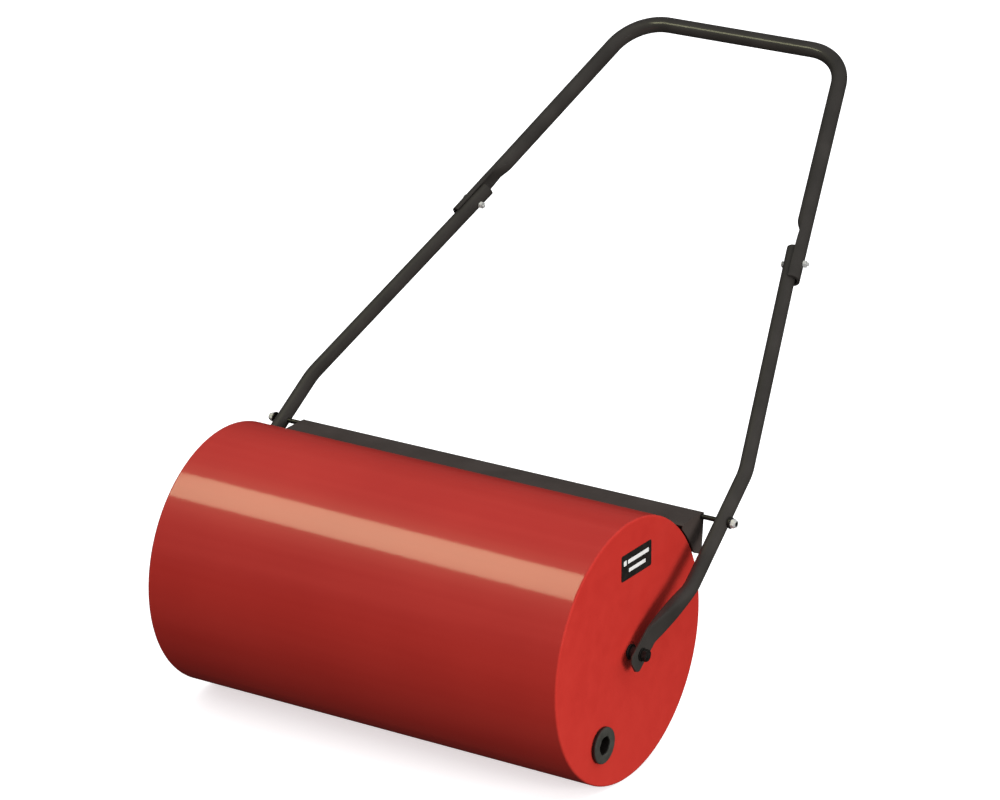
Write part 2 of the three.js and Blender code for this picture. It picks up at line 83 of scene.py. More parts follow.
HANDLE_RISE = atan2(ROD.z, ROD.y)
TONGUE_X = 300
LOWER_CORNERS = ((TONGUE_X, -20, 0), (TONGUE_X, 28, 25), (317.5, 100, 60), (309.5, 269, 90))
JOINT_X, JOINT_R = 232.4, 571
TOP_X, TOP_R, TOP_BEND = 152.3, 895.7, 62
LEAN = atan2(JOINT_X - TOP_X, TOP_R - JOINT_R)
UPPER_RADIUS, LOWER_RADIUS = 10, 9
TUBE_WALL = 1.2
SLIT = 0.4
PRESSED = 2 * TUBE_WALL + SLIT
UPPER_OFFSET, LOWER_OFFSET = 1.3, -5.3
UPPER_OVERLAP, LOWER_OVERLAP = 25, 24
PRESS_FADE = 45  # from the pressed end to the round tube
LIP_REACH, LIP_SPREAD = 1.4, 0.12
FLAT_END, ROUND_START = 46, 116  # distances from the tip of the crushed tongue
TIP_LENGTH, TIP_WIDTH = 7, 0.55  # where the tongue narrows, and its share of the width there

JOINT_BOLT_RADIUS, JOINT_PITCH = 2.5, 0.8
HEAD_RADIUS, HEAD_HEIGHT = 4.3, 2.6
JOINT_NUT_FLATS, JOINT_NUT_HEIGHT, JOINT_TIP = 8, 4, 3
ROD_RADIUS, ROD_PITCH, ROD_THREAD = 3, 1.0, 14
ROD_WASHER_RADIUS, ROD_NUT_FLATS, ROD_NUT_COLLAR = 7, 10, 1.9
CLEAR = 0.3  # round a bolt in its hole

SCRAPER_SHEET = 1.2
SCRAPER_FOLDS = ((118.9, 114.4), (122.3, 116.2), (167.2, 116.2), (162.6, 64.5))
FOLD_RADIUS = 3.0
CHEEK_TOP, CHEEK_BOTTOM = (161.4, radians(42.9)), (162.6, radians(26))  # radius, angle about the axle

# ---- Places ----------------------------------------------------------------------------------------

ABOUT_AXLE = Matrix.Translation(AXLE) @ Matrix.Scale(MM, 4)
HANDLE = ABOUT_AXLE @ Matrix.Rotation(HANDLE_RISE, 4, "X")
ROD_LINE = ABOUT_AXLE @ Matrix.Translation(ROD)
AT_PLUG = ABOUT_AXLE @ Matrix.Translation(PLUG)
MIRROR = Matrix.Scale(-1, 4, (1, 0, 0))
SIDES = {"right": Matrix.Identity(4), "left": Matrix.Rotation(pi, 4, "Z")}


def span(node):
    """The X, in mm, where a CAD node starts and ends."""
    low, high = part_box(node)
    return low.x / MM, high.x / MM


def joint_place(side):
    """The frame of a handle joint, with X along its bolt, for side 1 (right) or -1 (left)."""
    at = Matrix.Translation((side * JOINT_X, JOINT_R, 0))
    return HANDLE @ at @ Matrix.Rotation(side * LEAN, 4, "Z")


# ---- Mesh building ---------------------------------------------------------------------------------


def lerp(a, b, t):
    return a + (b - a) * t


def smoothstep(x, low, high):
    t = min(max((x - low) / (high - low), 0), 1)
    return t * t * (3 - 2 * t)


def steps(start, end, count):
    return [lerp(start, end, i / count) for i in range(count + 1)]


def rounded(points, radius, closed=True, arc=4):
    """A 2-D outline with each corner rounded. A radius is one number, or one for each corner."""
    radii = radius if hasattr(radius, "__len__") else [radius] * len(points)
    corners = [Vector(p) for p in points]
    made = []
    for i, at in enumerate(corners):
        if radii[i] == 0 or (not closed and i in (0, len(corners) - 1)):
            made.append(tuple(at))
            continue
        back = corners[i - 1] - at
        ahead = corners[(i + 1) % len(corners)] - at
        half = back.angle(ahead) / 2
        reach = min(radii[i] / tan(half), 0.49 * back.length, 0.49 * ahead.length)
        start, end = at + back.normalized() * reach, at + ahead.normalized() * reach
        for t in steps(0, 1, arc):
            made.append(tuple(start * (1 - t) ** 2 + at * 2 * t * (1 - t) + end * t * t))
    return made


def loft(rings, closed=False):
    """Vertices and faces through rings of equally many points. An open loft has capped ends."""
    count = len(rings[0])
    points = [p for ring in rings for p in ring]
    faces = []
    for i in range(len(rings) if closed else len(rings) - 1):
        a, b = i * count, (i + 1) % len(rings) * count
        for j in range(count):
            k = (j + 1) % count
            faces.append((a + j, a + k, b + k, b + j))
    if not closed:
        faces.append(tuple(range(count)))
        faces.append(tuple(range(len(points) - count, len(points))))
    return points, faces


def angles(count, dense=()):
    """Angles of a full turn, with extra ones where there is fine detail."""
    return sorted([2 * pi * i / count for i in range(count)] + [a % (2 * pi) for a in dense])


def turned(profile, facets=72, closed=True, reach=None, around=None):
    """(x, radius) pairs turned about the X axis. reach(x, radius, angle) may change the radius."""
    turns = around or angles(facets)
    rings = []
    for x, radius in profile:
        radii = [reach(x, radius, a) if reach else radius for a in turns]
        rings.append([(x, r * cos(a), r * sin(a)) for r, a in zip(radii, turns)])
    return loft(rings, closed)


def extruded(outline, start, end):
    """A (y, z) outline run along X."""
    return loft([[(x, y, z) for y, z in outline] for x in (start, end)])


def merged(*shapes):
    """Several separate shapes as one."""
    points, faces = [], []
    for more, loops in shapes:
        faces += [tuple(i + len(points) for i in loop) for loop in loops]
        points += more
    return points, faces


def raw_mesh(name, shape, place):
    """A mesh of a shape, placed, with its doubled points joined and its faces turned outwards."""
    points, faces = shape
    mesh = bpy.data.meshes.new(name)
    mesh.from_pydata([place @ Vector(p) for p in points], [], faces)
    work = bmesh.new()
    work.from_mesh(mesh)
    bmesh.ops.remove_doubles(work, verts=work.verts, dist=1e-3 * MM)
    bmesh.ops.recalc_face_normals(work, faces=work.faces)
    work.to_mesh(mesh)
    work.free()
    return mesh


def combine(piece, shape, place, operation="DIFFERENCE"):
    """Cuts a shape out of a piece, or joins it on, exactly."""
    other = bpy.data.objects.new("tool", raw_mesh("tool", shape, place))
    bpy.context.scene.collection.objects.link(other)
    modifier = piece.modifiers.new("combine", "BOOLEAN")
    modifier.operation, modifier.object, modifier.solver = operation, other, "MANIFOLD"
    bpy.context.view_layer.update()
    graph = bpy.context.evaluated_depsgraph_get()
    mesh = bpy.data.meshes.new_from_object(piece.evaluated_get(graph))
    piece.modifiers.clear()
    piece.data = mesh
    bpy.data.objects.remove(other)


def make(name, shape, place, body, material, nodes=(), tools=(), crease=32):
    """One finished piece. tools are (shape, place, operation) to cut out or join on."""
    piece = bpy.data.objects.new(name, raw_mesh(name, shape, place))
    bpy.context.scene.collection.objects.link(piece)
    for tool in tools:
        combine(piece, *tool)
    piece.data.polygons.foreach_set("use_smooth", [True] * len(piece.data.polygons))
    piece.data.set_sharp_from_angle(angle=radians(crease))
    piece.data.materials.clear()
    piece.data.materials.append(MATERIALS[material])
    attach(piece, body)
    if nodes:
        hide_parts(*nodes)
    return piece


# ---- Materials -------------------------------------------------------------------------------------


class Finish:
    """A procedural material: a Principled shader, and short ways to add nodes in front of it."""

    def __init__(self, name, **constants):
        self.material = bpy.data.materials.new(name)
        self.material.use_nodes = True
        self.tree = self.material.node_tree
        self.shader = self.tree.nodes["Principled BSDF"]
        self.place = self.node("TexCoord").outputs["Object"]
        for socket, value in constants.items():
            self.shader.inputs[socket.replace("_", " ")].default_value = value

    def node(self, kind, settings=None, **inputs):
        made = self.tree.nodes.new("ShaderNode" + kind)
        for name, value in (settings or {}).items():
            setattr(made, name, value)
        for name, value in inputs.items():
            self.put(made.inputs[name.replace("_", " ")], value)
        return made

    def put(self, socket, value):
        if isinstance(value, bpy.types.NodeSocket):
            self.tree.links.new(value, socket)
        else:
            socket.default_value = value

    def set(self, socket, value):
        self.put(self.shader.inputs[socket], value)

    def noise(self, scale, detail=3.0, stretch=(1, 1, 1), distortion=0.0, roughness=0.5):
        """Noise from 0 to 1. scale is cells to the metre, and stretch lengthens them along X, Y, Z."""
        size = tuple(scale / s for s in stretch)
        at = self.node("Mapping", Vector=self.place, Scale=size).outputs["Vector"]
        made = self.node("TexNoise", Vector=at, Scale=1.0, Detail=detail, Distortion=distortion)
        made.inputs["Roughness"].default_value = roughness
        return made.outputs["Fac"]

    def ramp(self, value, *stops):
        """Maps 0 to 1 onto colours, or onto grey levels where a stop's colour is one number."""
        made = self.node("ValToRGB", Fac=value)
        while len(made.color_ramp.elements) < len(stops):
            made.color_ramp.elements.new(0.5)
        for element, (position, colour) in zip(made.color_ramp.elements, stops):
            element.position = position
            grey = not hasattr(colour, "__len__")
            element.color = (colour, colour, colour, 1) if grey else (*colour, 1)
        return made.outputs["Color"]

    def math(self, operation, a, b):
        made = self.node("Math", {"operation": operation})
        self.put(made.inputs[0], a)
        self.put(made.inputs[1], b)
        return made.outputs["Value"]

    def mix(self, amount, a, b):
        """Colour a where amount is 0, and b where it is 1."""
        made = self.node("Mix", {"data_type": "RGBA"})
        for socket, value in zip((made.inputs[0], made.inputs[6], made.inputs[7]), (amount, a, b)):
            self.put(socket, value if isinstance(value, (bpy.types.NodeSocket, float)) else (*value, 1))
        return made.outputs[2]

    def bump(self, height, depth, under=None):
        """Relief of the given depth in mm, on top of another relief."""
        made = self.node("Bump", Height=height, Distance=depth * MM, Strength=1.0)
        if under is not None:
            self.put(made.inputs["Normal"], under)
        return made.outputs["Normal"]

    def edges(self, radius):
        """1 along sharp edges, 0 on flat faces."""
        soft = self.node("Bevel", {"samples": 4}, Radius=radius * MM).outputs["Normal"]
        hard = self.node("NewGeometry").outputs["Normal"]
        dot = self.node("VectorMath", {"operation": "DOT_PRODUCT"})
        self.put(dot.inputs[0], soft)
        self.put(dot.inputs[1], hard)
        return self.ramp(dot.outputs["Value"], (0.80, 1.0), (0.985, 0.0))


def red_paint():
    paint = Finish("red_paint", Coat_Weight=0.5, Coat_Roughness=0.10, Coat_IOR=1.5,
                   Specular_IOR_Level=0.15)
    patches = paint.noise(5, detail=4)
    streaks = paint.noise(60, detail=5, stretch=(40, 1, 1))
    tone = paint.math("MULTIPLY_ADD", patches, 0.6)
    paint.put(tone.node.inputs[2], paint.math("MULTIPLY", streaks, 0.4))
    base = paint.ramp(tone, (0.30, (0.47, 0.027, 0.020)), (0.55, (0.52, 0.033, 0.024)),
                      (0.75, (0.55, 0.038, 0.027)))
    dust = paint.ramp(paint.noise(900, detail=2), (0.70, 0.0), (0.80, 0.35))
    paint.set("Base Color", paint.mix(dust, base, (0.44, 0.045, 0.035)))
    paint.set("Roughness", paint.ramp(streaks, (0.3, 0.34), (0.7, 0.44)))
    rolled = paint.bump(paint.noise(16, detail=2, stretch=(9, 1, 1)), 0.20)
    brushed = paint.bump(streaks, 0.018, rolled)
    peel = paint.bump(paint.noise(330, detail=1.5), 0.010, brushed)
    paint.set("Normal", peel)
    paint.set("Coat Normal", peel)
    return paint.material


def black_enamel(name, dark, light):
    enamel = Finish(name, Coat_Weight=0.4, Coat_Roughness=0.10, Specular_IOR_Level=0.3)
    patches = enamel.noise(22, detail=4)
    base = enamel.ramp(patches, (0.3, dark), (0.7, light))
    wear = enamel.ramp(enamel.noise(160), (0.5, 0.0), (0.7, 0.5))
    rubbed = enamel.math("MULTIPLY", enamel.edges(0.4), wear)
    enamel.set("Base Color", enamel.mix(rubbed, base, (0.085, 0.076, 0.070)))
    enamel.set("Roughness", enamel.ramp(enamel.noise(70, detail=5), (0.3, 0.50), (0.7, 0.62)))
    grain = enamel.bump(enamel.noise(900, detail=2), 0.014)
    enamel.set("Normal", enamel.bump(enamel.noise(90, detail=2), 0.03, grain))
    return enamel.material


def zinc_plate():
    zinc = Finish("zinc_plate", Metallic=0.4)
    stain = zinc.noise(260, detail=5)
    base = zinc.ramp(stain, (0.30, (0.62, 0.63, 0.62)), (0.5, (0.74, 0.75, 0.74)),
                     (0.7, (0.80, 0.79, 0.75)))
    zinc.set("Base Color", zinc.mix(zinc.edges(0.25), base, (0.86, 0.86, 0.84)))
    zinc.set("Roughness", zinc.ramp(zinc.noise(700, detail=3), (0.3, 0.38), (0.7, 0.55)))
    zinc.set("Normal", zinc.bump(zinc.noise(1500, detail=3), 0.010))
    return zinc.material


def black_fastener():
    oxide = Finish("black_fastener", Metallic=0.6)
    film = oxide.noise(300, detail=4)
    base = oxide.ramp(film, (0.3, (0.016, 0.015, 0.014)), (0.7, (0.040, 0.037, 0.034)))
    wear = oxide.ramp(oxide.noise(500), (0.4, 0.1), (0.65, 0.9))
    worn = oxide.math("MULTIPLY", oxide.edges(0.3), wear)
    oxide.set("Base Color", oxide.mix(worn, base, (0.16, 0.155, 0.15)))
    oxide.set("Roughness", oxide.ramp(oxide.noise(500), (0.3, 0.34), (0.7, 0.52)))
    oxide.set("Normal", oxide.bump(oxide.noise(1600, detail=3), 0.012))
    return oxide.material


def bare_steel():
    steel = Finish("bare_steel", Metallic=1.0)
    drawn = steel.noise(400, detail=4, stretch=(30, 1, 1))
    steel.set("Base Color", steel.ramp(drawn, (0.3, (0.30, 0.29, 0.28)), (0.7, (0.48, 0.47, 0.45))))
    steel.set("Roughness", steel.ramp(steel.noise(120), (0.3, 0.32), (0.7, 0.5)))
    steel.set("Normal", steel.bump(drawn, 0.02))
    return steel.material


def moulded(name, dark, light, rough=(0.42, 0.58), mouth=None):
    """A moulded plastic with a fine spark-eroded grain and rubbed edges.

    Inwards of X = mouth, in metres, it is darkened with painted shade.
    """
    plastic = Finish(name, IOR=1.49)
    base = plastic.ramp(plastic.noise(90, detail=4), (0.3, dark), (0.7, light))
    if mouth:
        # Painted shade: inside the recess mouth the colour goes near black.
        x = plastic.node("SeparateXYZ", Vector=plastic.place).outputs["X"]
        depth = plastic.node("MapRange", Value=x, From_Min=mouth - 2.5 * MM, From_Max=mouth - 0.4 * MM)
        base = plastic.mix(depth.outputs["Result"], (0.006, 0.005, 0.004), base)
    rubbed = plastic.math("MULTIPLY", plastic.edges(0.4), 0.5)
    plastic.set("Base Color", plastic.mix(rubbed, base, tuple(2.2 * c for c in light)))
    plastic.set("Roughness", plastic.ramp(plastic.noise(240), (0.3, rough[0]), (0.7, rough[1])))
    plastic.set("Normal", plastic.bump(plastic.noise(2200, detail=2), 0.018))
    return plastic.material


def seal_rubber():
    rubber = Finish("seal_rubber", IOR=1.52)
    bloom = rubber.noise(180, detail=4)
    base = rubber.ramp(bloom, (0.35, (0.012, 0.012, 0.012)), (0.75, (0.034, 0.033, 0.031)))
    rubber.set("Base Color", base)
    rubber.set("Roughness", rubber.ramp(bloom, (0.3, 0.62), (0.7, 0.82)))
    rubber.set("Normal", rubber.bump(rubber.noise(1800), 0.02))
    return rubber.material


def label_film(name, dark, light):
    film = Finish(name, Coat_Weight=0.4, Coat_Roughness=0.12)
    film.set("Base Color", film.ramp(film.noise(120, detail=4), (0.3, dark), (0.7, light)))
    film.set("Roughness", film.ramp(film.noise(300), (0.3, 0.34), (0.7, 0.46)))
    film.set("Normal", film.bump(film.noise(60, detail=2), 0.03))
    return film.material


MATERIALS = {
    "drum_paint": red_paint(),
    "black_enamel": black_enamel("black_enamel", (0.030, 0.027, 0.024), (0.044, 0.039, 0.035)),
    # The scraper's enamel: a browner tone, and also lightened throughout as painted light for its top plate
    # lit from above.
    "brown_enamel_painted_light": black_enamel("brown_enamel_painted_light", (0.050, 0.038, 0.033), (0.066, 0.051, 0.045)),
    "zinc_plate": zinc_plate(),
    "black_fastener": black_fastener(),
    "bare_steel": bare_steel(),
    "plug_plastic": moulded("plug_plastic", (0.040, 0.040, 0.034), (0.058, 0.058, 0.050),
                            mouth=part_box("filler_plug")[1].x),
    "bush_plastic": moulded("bush_plastic", (0.012, 0.012, 0.012), (0.022, 0.022, 0.021), (0.38, 0.5)),
    "seal_rubber": seal_rubber(),
    "label_film": label_film("label_film", (0.010, 0.009, 0.008), (0.020, 0.018, 0.016)),
    "label_print": label_film("label_print", (0.74, 0.73, 0.71), (0.84, 0.83, 0.81)),
}

# ---- Threads, nuts and bolts -----------------------------------------------------------------------


def thread(pitch, depth, start, end, chamfer=0.0, tip=0.0):
    """A reach for turned() that cuts a screw thread from start to end, and bevels the tip if asked."""

    def reach(x, radius, angle):
        turn = (x / pitch - angle / (2 * pi)) % 1
        cut = depth * abs(2 * turn - 1) * smoothstep(x, start, start + pitch) if start < x <= end else 0
        bevel = max(0, chamfer - max(0, tip - x)) if chamfer else 0
        return radius - cut - bevel

    return reach


def threaded_rod(start, end, radius, pitch, threaded, facets=36):
    """A rod along X with its last `threaded` mm screwed and its tip chamfered, at the +X end."""
    from_x = end - threaded
    fine = steps(from_x, end, ceil(threaded / pitch * 7))
    profile = [(start, 0), (start, radius), *((x, radius) for x in fine), (end, 0)]
    cut = thread(pitch, 0.61 * pitch, from_x, end, chamfer=0.8 * pitch, tip=end)

    def reach(x, r, angle):
        return 0 if r == 0 else cut(x, r, angle)

    return turned(profile, facets, closed=True, reach=reach)


def hex_reach(flats, low, high):
    """A reach for turned() that makes a hexagon with its corners chamfered at 30 degrees."""
    corner = flats / 2 / cos(pi / 6)

    def reach(x, radius, angle):
        if radius < flats / 2:
            return radius
        side = flats / 2 / cos((angle % (pi / 3)) - pi / 6)
        inset = min(high - x, x - low)
        return min(side, 0.985 * corner, 0.97 * flats / 2 + max(inset, 0) / tan(radians(30)))

    return reach


def hex_nut(low, high, flats, bore, pitch, collar=0.0, facets=72):
    """A chamfered nut with a threaded bore. A collar makes it a lock nut with a rounded crown."""
    top = high - collar
    corner = flats / 2 / cos(pi / 6)
    chamfer = [0, 0.12, 0.25, 0.4, 0.6, 0.8]
    outside = [(low + c, corner) for c in chamfer] + [(top - c, corner) for c in reversed(chamfer)]
    crown = []
    if collar:
        around = 0.90 * flats / 2
        crown = rounded([(top, around), (high, around), (high, around - 1.3), (top + 0.5, around - 1.3)],
                        (0, 0.6, 0.3, 0), closed=False)
        outside.append((top, around))
    deep = top + 0.5 if collar else top
    screw = [(x, bore) for x in reversed(steps(low + 0.5, deep - 0.5, ceil((deep - low) / pitch * 5)))]
    inside = [(deep, bore + 0.55), *screw, (low, bore + 0.55)]
    hexed = hex_reach(flats, low, top)
    wave = thread(pitch, -0.35 * pitch, low + 0.4, deep - 0.4)

    def reach(x, radius, angle):
        if radius == bore:
            return wave(x, radius, angle)
        return hexed(x, radius, angle) if radius == corner else radius

    return turned([*outside, *crown, *inside], facets, reach=reach)


def ring(low, high, inner, outer, edge=0.25, facets=72):
    profile = [(low, outer), (high, outer), (high, inner), (low, inner)]
    return turned(rounded(profile, edge), facets)


# ---- Drum ------------------------------------------------------------------------------------------

RIGHT_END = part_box("drum_end_right")[1].x / MM  # the drum's flat face
RIM_START = RIGHT_END - RIM_RADIUS
WALL_FACETS = 240


def drum_wall():
    """The rolled wall, with a low rippled weld along it."""
    half = RIM_START - SEAM_GAP
    inner = DRUM_RADIUS - DRUM_SHEET
    edge = [half - 0.12, half]
    outside = [-x for x in reversed(edge)] + steps(-half + 20, half - 20, 12) + edge
    profile = [(x, DRUM_RADIUS) for x in outside] + [(half, inner), (-half, inner)]
    bead = [SEAM_ANGLE + step * 0.005 for step in range(-7, 8) if step]

    def reach(x, radius, angle):
        away = ((angle - SEAM_ANGLE + pi) % (2 * pi) - pi) * DRUM_RADIUS
        ripple = 1 + 0.25 * sin(x * 2.1)
        rise = SEAM_HEIGHT * ripple * exp(-((away / SEAM_WIDTH) ** 2)) if radius == DRUM_RADIUS else 0
        return radius + rise

    return turned(profile, reach=reach, around=angles(WALL_FACETS, bead))


def drum_cap():
    """An end plate facing +X, with its rim rolled over to meet the wall and a weld round the sleeve."""
    centre = DRUM_RADIUS - RIM_RADIUS
    inside = RIM_RADIUS - DRUM_SHEET
    quarter = steps(0, pi / 2, 10)
    rim = [(RIM_START + RIM_RADIUS * sin(a), centre + RIM_RADIUS * cos(a)) for a in quarter]
    back = [(RIM_START + inside * sin(a), centre + inside * cos(a)) for a in reversed(quarter)]
    bead = ((3.6, 0), (3.0, 0.25), (2.1, 0.55), (1.1, 0.5), (0.2, 0.2), (0.2, -DRUM_SHEET))
    weld = [(RIGHT_END + rise, SLEEVE_RADIUS + away) for away, rise in bead]
    face = [(RIGHT_END, r) for r in (centre - 0.6, 120, 60, 24)]
    return turned([*rim, *face, *weld, (RIGHT_END - DRUM_SHEET, 60), *back], WALL_FACETS)


filler_drill = turned([(RIGHT_END - 8, FILLER_HOLE), (RIGHT_END + 8, FILLER_HOLE)], 72, closed=False)
make("drum_wall", drum_wall(), ABOUT_AXLE, "drum", "drum_paint", ["drum_shell"])
for side, turn in SIDES.items():
    tools = [(filler_drill, AT_PLUG, "DIFFERENCE")] if side == "right" else []
    make(f"drum_cap_{side}", drum_cap(), ABOUT_AXLE @ turn, "drum", "drum_paint",
         [f"drum_end_{side}"], tools)

sleeve = ring(*span("axle_sleeve"), SLEEVE_BORE, SLEEVE_RADIUS, 0.4)
make("sleeve_tube", sleeve, ABOUT_AXLE, "drum", "drum_paint", ["axle_sleeve"])


def bush():
    low, high = span("bearing_bush_right")
    face = high - BUSH_FLANGE_DEPTH
    flange, barrel, bore = BUSH_FLANGE, SLEEVE_BORE - 0.3, SHAFT_RADIUS + 0.15
    profile = [(low, bore), (low, barrel), (face, barrel), (face, flange), (high, flange), (high, bore)]
    return turned(rounded(profile, (0.3, 0.8, 0, 0.3, 0.7, 0.4)))


for side, turn in SIDES.items():
    make(f"bush_{side}", bush(), ABOUT_AXLE @ turn, "drum", "bush_plastic", [f"bearing_bush_{side}"])

# ---- Filler neck, plug and label -------------------------------------------------------------------


def filler_neck():
    """A threaded collar behind the right end plate, with a land that fills its hole."""
    low, high = span("filler_neck")
    collar = RIGHT_END - DRUM_SHEET - 0.3
    outside = rounded([(low, NECK_RADIUS), (collar - 1.5, NECK_RADIUS), (collar - 1.5, NECK_COLLAR),
                       (collar, NECK_COLLAR), (collar, NECK_LAND), (high, NECK_LAND),
                       (high, NECK_THREAD), (high - 0.9, NECK_BORE)],
                      (0.5, 0.4, 0.3, 0, 0, 0.3, 0, 0), closed=False)
    inside = [(x, NECK_BORE) for x in reversed(steps(low + 0.5, high - 1, 26))]
    wave = thread(PLUG_PITCH, -0.9, low + 0.5, high - 1)
    return turned([*outside, *inside, (low, NECK_THREAD)],
                  reach=lambda x, r, a: wave(x, r, a) if r == NECK_BORE else r)


def filler_plug():
    low, high = span("filler_plug")
    flange = high - PLUG_FLANGE_DEPTH
    shank = [(x, PLUG_THREAD) for x in steps(low + 1.2, flange - 2, 34)]
    head = rounded([(flange, PLUG_THREAD), (flange, PLUG_FLANGE), (high, PLUG_FLANGE), (high, 0)],
                   (0, 0.5, 1.4, 0), closed=False, arc=6)
    wave = thread(PLUG_PITCH, PLUG_THREAD - PLUG_CORE, low, flange - PLUG_PITCH)
    return turned([(low, 0), (low, PLUG_CORE - 0.8), (low + 0.6, PLUG_CORE), *shank, *head], 96,
                  reach=lambda x, r, a: wave(x, r, a) if r == PLUG_THREAD else r)


def key_recess():
    """A six-sided pocket with rounded corners, a chamfered mouth and a dished floor."""
    low, high = span("filler_plug")
    corner = PLUG_KEY / 2 / cos(pi / 6)
    shape = [(cos(i * pi / 3), sin(i * pi / 3)) for i in range(6)]
    outline = rounded(shape, 0.55, arc=5)
    floor = low + PLUG_FLOOR
    rings = []
    for x, grow in ((floor, -2.0), (floor + 0.5, -0.4), (floor + 1, 0), (high - 0.8, 0),
                    (high - 0.3, 0.25), (high, 0.8), (high + 1, 2.4)):
        rings.append([(x, y * (corner + grow), z * (corner + grow)) for y, z in outline])
    return loft(rings)


def slab(centre, width, height, corner, low, high, edge=0.05):
    """A thin rounded plate facing +X."""
    y, z = centre
    outline = [(y - width / 2, z - height / 2), (y + width / 2, z - height / 2),
               (y + width / 2, z + height / 2), (y - width / 2, z + height / 2)]
    inset = [(a + edge * (1 if a < y else -1), b + edge * (1 if b < z else -1)) for a, b in outline]
    rings = [(low, outline), (high - edge, outline), (high, inset)]
    return loft([[(x, a, b) for a, b in rounded(shape, corner, arc=6)] for x, shape in rings])


make("neck_ring", filler_neck(), AT_PLUG, "drum", "bare_steel", ["filler_neck"])
make("plug_cap", filler_plug(), AT_PLUG, "plug", "plug_plastic", ["filler_plug"],
     [(key_recess(), AT_PLUG, "DIFFERENCE")])
seal = ring(*span("plug_seal"), FILLER_HOLE, PLUG_FLANGE - 1, 0.3)
make("plug_gasket", seal, AT_PLUG, "plug", "seal_rubber", ["plug_seal"])

label_low, label_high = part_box("end_label")
label_size = (label_high - label_low) / MM
label_centre = (label_low + label_high) / 2 - AXLE
label_at = (label_centre.y / MM, label_centre.z / MM)
film_face = label_high.x / MM
film = slab(label_at, label_size.y, label_size.z, 3, label_low.x / MM, film_face)
make("label_film", film, ABOUT_AXLE, "drum", "label_film", ["end_label"])


def label_bars():
    """Blank bars of print, standing a hair above the film."""
    y, z = label_at
    low, high = film_face - 0.01, film_face + 0.06
    return merged(*(slab((y + across, z + up), width, height, 0.9, low, high, 0.02)
                    for across, up, width, height in BARS))


make("label_print", label_bars(), ABOUT_AXLE, "drum", "label_print")

# ---- Axle ------------------------------------------------------------------------------------------


def both_ends(half):
    """A rod made of one half and the same half turned round, without the faces between them."""
    points, faces = half
    turned_points = [(-x, -y, z) for x, y, z in points]
    middle = {i for i, p in enumerate(points) if abs(p[0]) < 1e-9}
    kept = [face for face in faces if not middle.issuperset(face)]
    used = sorted({i for face in kept for i in face})
    index = {old: new for new, old in enumerate(used)}
    kept = [tuple(index[i] for i in face) for face in kept]
    return merged(([points[i] for i in used], kept), ([turned_points[i] for i in used], kept))


half_shaft = threaded_rod(0, span("axle_shaft")[1], SHAFT_RADIUS, SHAFT_PITCH, SHAFT_THREAD)
make("axle", both_ends(half_shaft), ABOUT_AXLE, "frame", "black_fastener", ["axle_shaft"])

spacer = ring(*span("axle_spacer_right"), SHAFT_RADIUS + CLEAR, SPACER_RADIUS, 0.6)
washer = ring(*span("axle_washer_right"), SHAFT_RADIUS + CLEAR, AXLE_WASHER_RADIUS, 0.35)
axle_nut = hex_nut(*span("axle_nut_right"), AXLE_NUT_FLATS, SHAFT_RADIUS + 0.05, SHAFT_PITCH)
for side, turn in SIDES.items():
    place = ABOUT_AXLE @ turn
    make(f"spacer_{side}", spacer, place, "frame", "bush_plastic", [f"axle_spacer_{side}"])
    make(f"washer_{side}", washer, place, "frame", "black_fastener", [f"axle_washer_{side}"])
    make(f"nut_{side}", axle_nut, place, "frame", "black_fastener", [f"axle_nut_{side}"])

# ---- Handle tubes ----------------------------------------------------------------------------------


class Path:
    """A line in the handle's plane through corners (x, r, bend radius), run by distance."""

    def __init__(self, corners):
        self.parts = []  # (length, function of distance giving point and heading)
        start = Vector(corners[0][:2])
        for before, corner, after in zip(corners, corners[1:], corners[2:]):
            at = Vector(corner[:2])
            back = (Vector(before[:2]) - at).normalized()
            ahead = (Vector(after[:2]) - at).normalized()
            half = back.angle(ahead) / 2
            reach = corner[2] / tan(half)
            centre = at + (back + ahead).normalized() * corner[2] / sin(half)
            self.line(start, at + back * reach)
            self.arc(at + back * reach, at + ahead * reach, centre)
            start = at + ahead * reach
        self.line(start, Vector(corners[-1][:2]))
        self.length = sum(length for length, _ in self.parts)

    def line(self, start, end):
        heading = (end - start).normalized()
        self.parts.append(((end - start).length, lambda d: (start + heading * d, heading)))

    def arc(self, start, end, centre):
        out = start - centre
        turn = (end - centre).angle_signed(out)  # anticlockwise is positive

        def at(d):
            angle = d / out.length * (1 if turn > 0 else -1)
            now = Matrix.Rotation(angle, 2) @ out
            return centre + now, Vector((-now.y, now.x)).normalized() * (1 if turn > 0 else -1)

        self.parts.append((out.length * abs(turn), at))

    def at(self, distance):
        for length, part in self.parts[:-1]:
            if distance <= length:
                return part(distance)
            distance -= length
        return self.parts[-1][1](distance)

    def joins(self):
        """The distances at which straight and bent parts meet."""
        ends, total = [], 0
        for length, _ in self.parts:
            total += length
            ends.append(total)
        return ends


CRUSHED_POINTS = 64
LIP = radians(7)  # share of the round tube that becomes each folded lip
BACK, LIPS, FRONT = 24, 6, 22
SAMPLES = (
    [("back", v) for v in steps(-1, 1, BACK)]
    + [("lip", (1, u)) for u in steps(0, 1, LIPS)[1:]]
    + [("front", v) for v in steps(1, -1, FRONT)[1:]]
    + [("lip", (-1, u)) for u in steps(1, 0, LIPS)[1:-1]]
)


